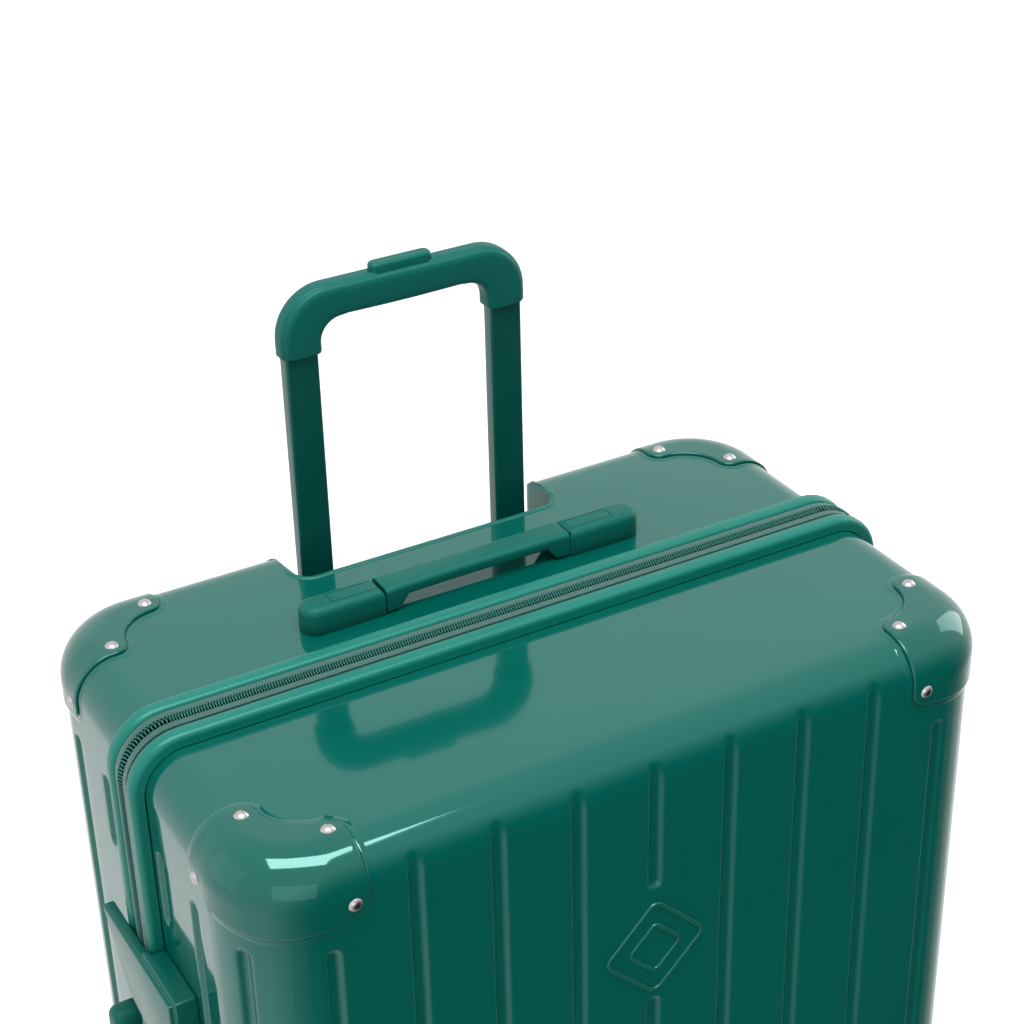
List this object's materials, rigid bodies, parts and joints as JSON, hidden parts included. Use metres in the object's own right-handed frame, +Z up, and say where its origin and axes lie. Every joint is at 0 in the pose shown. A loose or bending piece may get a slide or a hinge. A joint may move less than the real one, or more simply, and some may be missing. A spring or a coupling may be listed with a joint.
{
  "type": "hard shell suitcase",
  "caption": "Ribbed hard shell spinner suitcase with corner guards, zipper frame, side lock, carry handles and a telescopic pulling handle.",
  "frame": {"origin": "on the floor, under the middle of the case's bounding box", "axes": "+X to the case's right seen from the front, -Y out of the front face, +Z up along the height"},
  "size_m": [0.536, 0.3244, 0.9535],
  "materials": {
    "shell": "deep teal green polycarbonate with a clear gloss",
    "guard": "gloss teal green corner guards",
    "rivet": "polished rivet heads",
    "screw": "zinc plated screws",
    "piping": "satin rubbery piping",
    "tape": "woven polyester tape",
    "teeth": "nylon coil",
    "slider": "enamelled zinc sliders and pulls",
    "lining": "plain woven polyester lining",
    "webbing": "ribbed webbing",
    "black_plastic": "fine textured black plastic",
    "pan": "satin moulded plastic",
    "tube": "powder coated aluminium",
    "raw_tube": "mill finish aluminium",
    "handle": "soft matt moulding",
    "foot": "rubber side feet",
    "emblem": "gloss raised badge",
    "dial": "pale number wheels",
    "caster": "dark green nylon",
    "wheel": "soft tread on a hard core"
  },
  "bodies": {
    "rear_case": {"rear_shell": "shell", "rear_corner_guards": "guard", "rear_rivets": "rivet", "rear_piping": "piping", "rear_zipper_tape": "tape", "rear_zipper_teeth": "teeth", "hinge_cloth_rear": "tape", "rear_lining": "lining", "packing_straps": "webbing", "strap_buckle": "black_plastic", "handle_pan": "pan", "outer_tubes": "raw_tube", "outer_tube_collars": "black_plastic", "tube_foot": "black_plastic", "top_handle_caps": "handle", "side_handle_caps": "handle", "rear_side_feet": "foot", "rear_caster_plates": "caster", "rear_caster_screws": "screw", "zipper_sliders": "slider"},
    "front_case": {"front_shell": "shell", "front_corner_guards": "guard", "front_rivets": "rivet", "front_piping": "piping", "front_zipper_tape": "tape", "front_zipper_teeth": "teeth", "hinge_cloth_front": "tape", "front_lining": "lining", "divider_panel": "lining", "lock_housing": "pan", "front_emblem": "emblem", "front_side_feet": "foot", "front_caster_plates": "caster", "front_caster_screws": "screw"},
    "top_bar": {"top_handle_bar": "handle"},
    "side_bar": {"side_handle_bar": "handle"},
    "middle_stage": {"middle_tubes": "tube", "middle_tube_collars": "black_plastic"},
    "grip_stage": {"inner_tubes": "tube", "grip": "handle"},
    "grip_button": {"push_button": "handle"},
    "dial_1": {"lock_dial_1": "dial"},
    "dial_2": {"lock_dial_2": "dial"},
    "dial_3": {"lock_dial_3": "dial"},
    "lock_release": {"lock_slide": "black_plastic"},
    "pull_upper": {"zipper_pull_upper": "slider"},
    "pull_lower": {"zipper_pull_lower": "slider"},
    "caster_front_left": {"caster_fork_front_left": "caster"},
    "wheel_front_left_inner": {"wheel_front_left_inner": "wheel"},
    "wheel_front_left_outer": {"wheel_front_left_outer": "wheel"},
    "caster_front_right": {"caster_fork_front_right": "caster"},
    "wheel_front_right_inner": {"wheel_front_right_inner": "wheel"},
    "wheel_front_right_outer": {"wheel_front_right_outer": "wheel"},
    "caster_rear_left": {"caster_fork_rear_left": "caster"},
    "wheel_rear_left_inner": {"wheel_rear_left_inner": "wheel"},
    "wheel_rear_left_outer": {"wheel_rear_left_outer": "wheel"},
    "caster_rear_right": {"caster_fork_rear_right": "caster"},
    "wheel_rear_right_inner": {"wheel_rear_right_inner": "wheel"},
    "wheel_rear_right_outer": {"wheel_rear_right_outer": "wheel"}
  },
  "joints": [
    {"name": "case_opening", "type": "hinge", "parent": "rear_case", "child": "front_case", "pos_m": [0.2595, 0, 0.416], "axis": [0, 0, 1], "range_deg": [0, 180]},
    {"name": "middle_tubes_slide", "type": "slide", "parent": "rear_case", "child": "middle_stage", "axis": [0, 0, 1], "range_m": [0, 0.19]},
    {"name": "handle_slide", "type": "slide", "parent": "middle_stage", "child": "grip_stage", "axis": [0, 0, 1], "range_m": [-0.185, 0]},
    {"name": "button_press", "type": "slide", "parent": "grip_stage", "child": "grip_button", "axis": [0, 0, -1], "range_m": [0, 0.004], "stiffness_N_per_m": 500},
    {"name": "top_handle_lift", "type": "slide", "parent": "rear_case", "child": "top_bar", "axis": [0, 0, 1], "range_m": [0, 0.009], "stiffness_N_per_m": 400},
    {"name": "side_handle_lift", "type": "slide", "parent": "rear_case", "child": "side_bar", "axis": [-1, 0, 0], "range_m": [0, 0.009], "stiffness_N_per_m": 400},
    {"name": "dial_1_turn", "type": "hinge", "parent": "front_case", "child": "dial_1", "pos_m": [-0.26, -0.045, 0.58], "axis": [0, 0, 1], "continuous": true},
    {"name": "dial_2_turn", "type": "hinge", "parent": "front_case", "child": "dial_2", "pos_m": [-0.26, -0.045, 0.569], "axis": [0, 0, 1], "continuous": true},
    {"name": "dial_3_turn", "type": "hinge", "parent": "front_case", "child": "dial_3", "pos_m": [-0.26, -0.045, 0.558], "axis": [0, 0, 1], "continuous": true},
    {"name": "lock_release_slide", "type": "slide", "parent": "front_case", "child": "lock_release", "axis": [0, 0, -1], "range_m": [0, 0.004], "stiffness_N_per_m": 300},
    {"name": "pull_upper_swing", "type": "hinge", "parent": "rear_case", "child": "pull_upper", "pos_m": [-0.2632, 0, 0.466], "axis": [0, 1, 0], "range_deg": [0, 90]},
    {"name": "pull_lower_swing", "type": "hinge", "parent": "rear_case", "child": "pull_lower", "pos_m": [-0.2632, 0, 0.396], "axis": [0, 1, 0], "range_deg": [0, 90]},
    {"name": "swivel_front_left", "type": "hinge", "parent": "front_case", "child": "caster_front_left", "pos_m": [-0.196, -0.106, 0.06], "axis": [0, 0, 1], "continuous": true},
    {"name": "spin_front_left_inner", "type": "hinge", "parent": "caster_front_left", "child": "wheel_front_left_inner", "pos_m": [-0.1871, -0.09, 0.025], "axis": [1, 0, 0], "continuous": true},
    {"name": "spin_front_left_outer", "type": "hinge", "parent": "caster_front_left", "child": "wheel_front_left_outer", "pos_m": [-0.2049, -0.09, 0.025], "axis": [1, 0, 0], "continuous": true},
    {"name": "swivel_front_right", "type": "hinge", "parent": "front_case", "child": "caster_front_right", "pos_m": [0.196, -0.106, 0.06], "axis": [0, 0, 1], "continuous": true},
    {"name": "spin_front_right_inner", "type": "hinge", "parent": "caster_front_right", "child": "wheel_front_right_inner", "pos_m": [0.1871, -0.09, 0.025], "axis": [1, 0, 0], "continuous": true},
    {"name": "spin_front_right_outer", "type": "hinge", "parent": "caster_front_right", "child": "wheel_front_right_outer", "pos_m": [0.2049, -0.09, 0.025], "axis": [1, 0, 0], "continuous": true},
    {"name": "swivel_rear_left", "type": "hinge", "parent": "rear_case", "child": "caster_rear_left", "pos_m": [-0.196, 0.106, 0.06], "axis": [0, 0, 1], "continuous": true},
    {"name": "spin_rear_left_inner", "type": "hinge", "parent": "caster_rear_left", "child": "wheel_rear_left_inner", "pos_m": [-0.1871, 0.122, 0.025], "axis": [1, 0, 0], "continuous": true},
    {"name": "spin_rear_left_outer", "type": "hinge", "parent": "caster_rear_left", "child": "wheel_rear_left_outer", "pos_m": [-0.2049, 0.122, 0.025], "axis": [1, 0, 0], "continuous": true},
    {"name": "swivel_rear_right", "type": "hinge", "parent": "rear_case", "child": "caster_rear_right", "pos_m": [0.196, 0.106, 0.06], "axis": [0, 0, 1], "continuous": true},
    {"name": "spin_rear_right_inner", "type": "hinge", "parent": "caster_rear_right", "child": "wheel_rear_right_inner", "pos_m": [0.1871, 0.122, 0.025], "axis": [1, 0, 0], "continuous": true},
    {"name": "spin_rear_right_outer", "type": "hinge", "parent": "caster_rear_right", "child": "wheel_rear_right_outer", "pos_m": [0.2049, 0.122, 0.025], "axis": [1, 0, 0], "continuous": true}
  ]
}
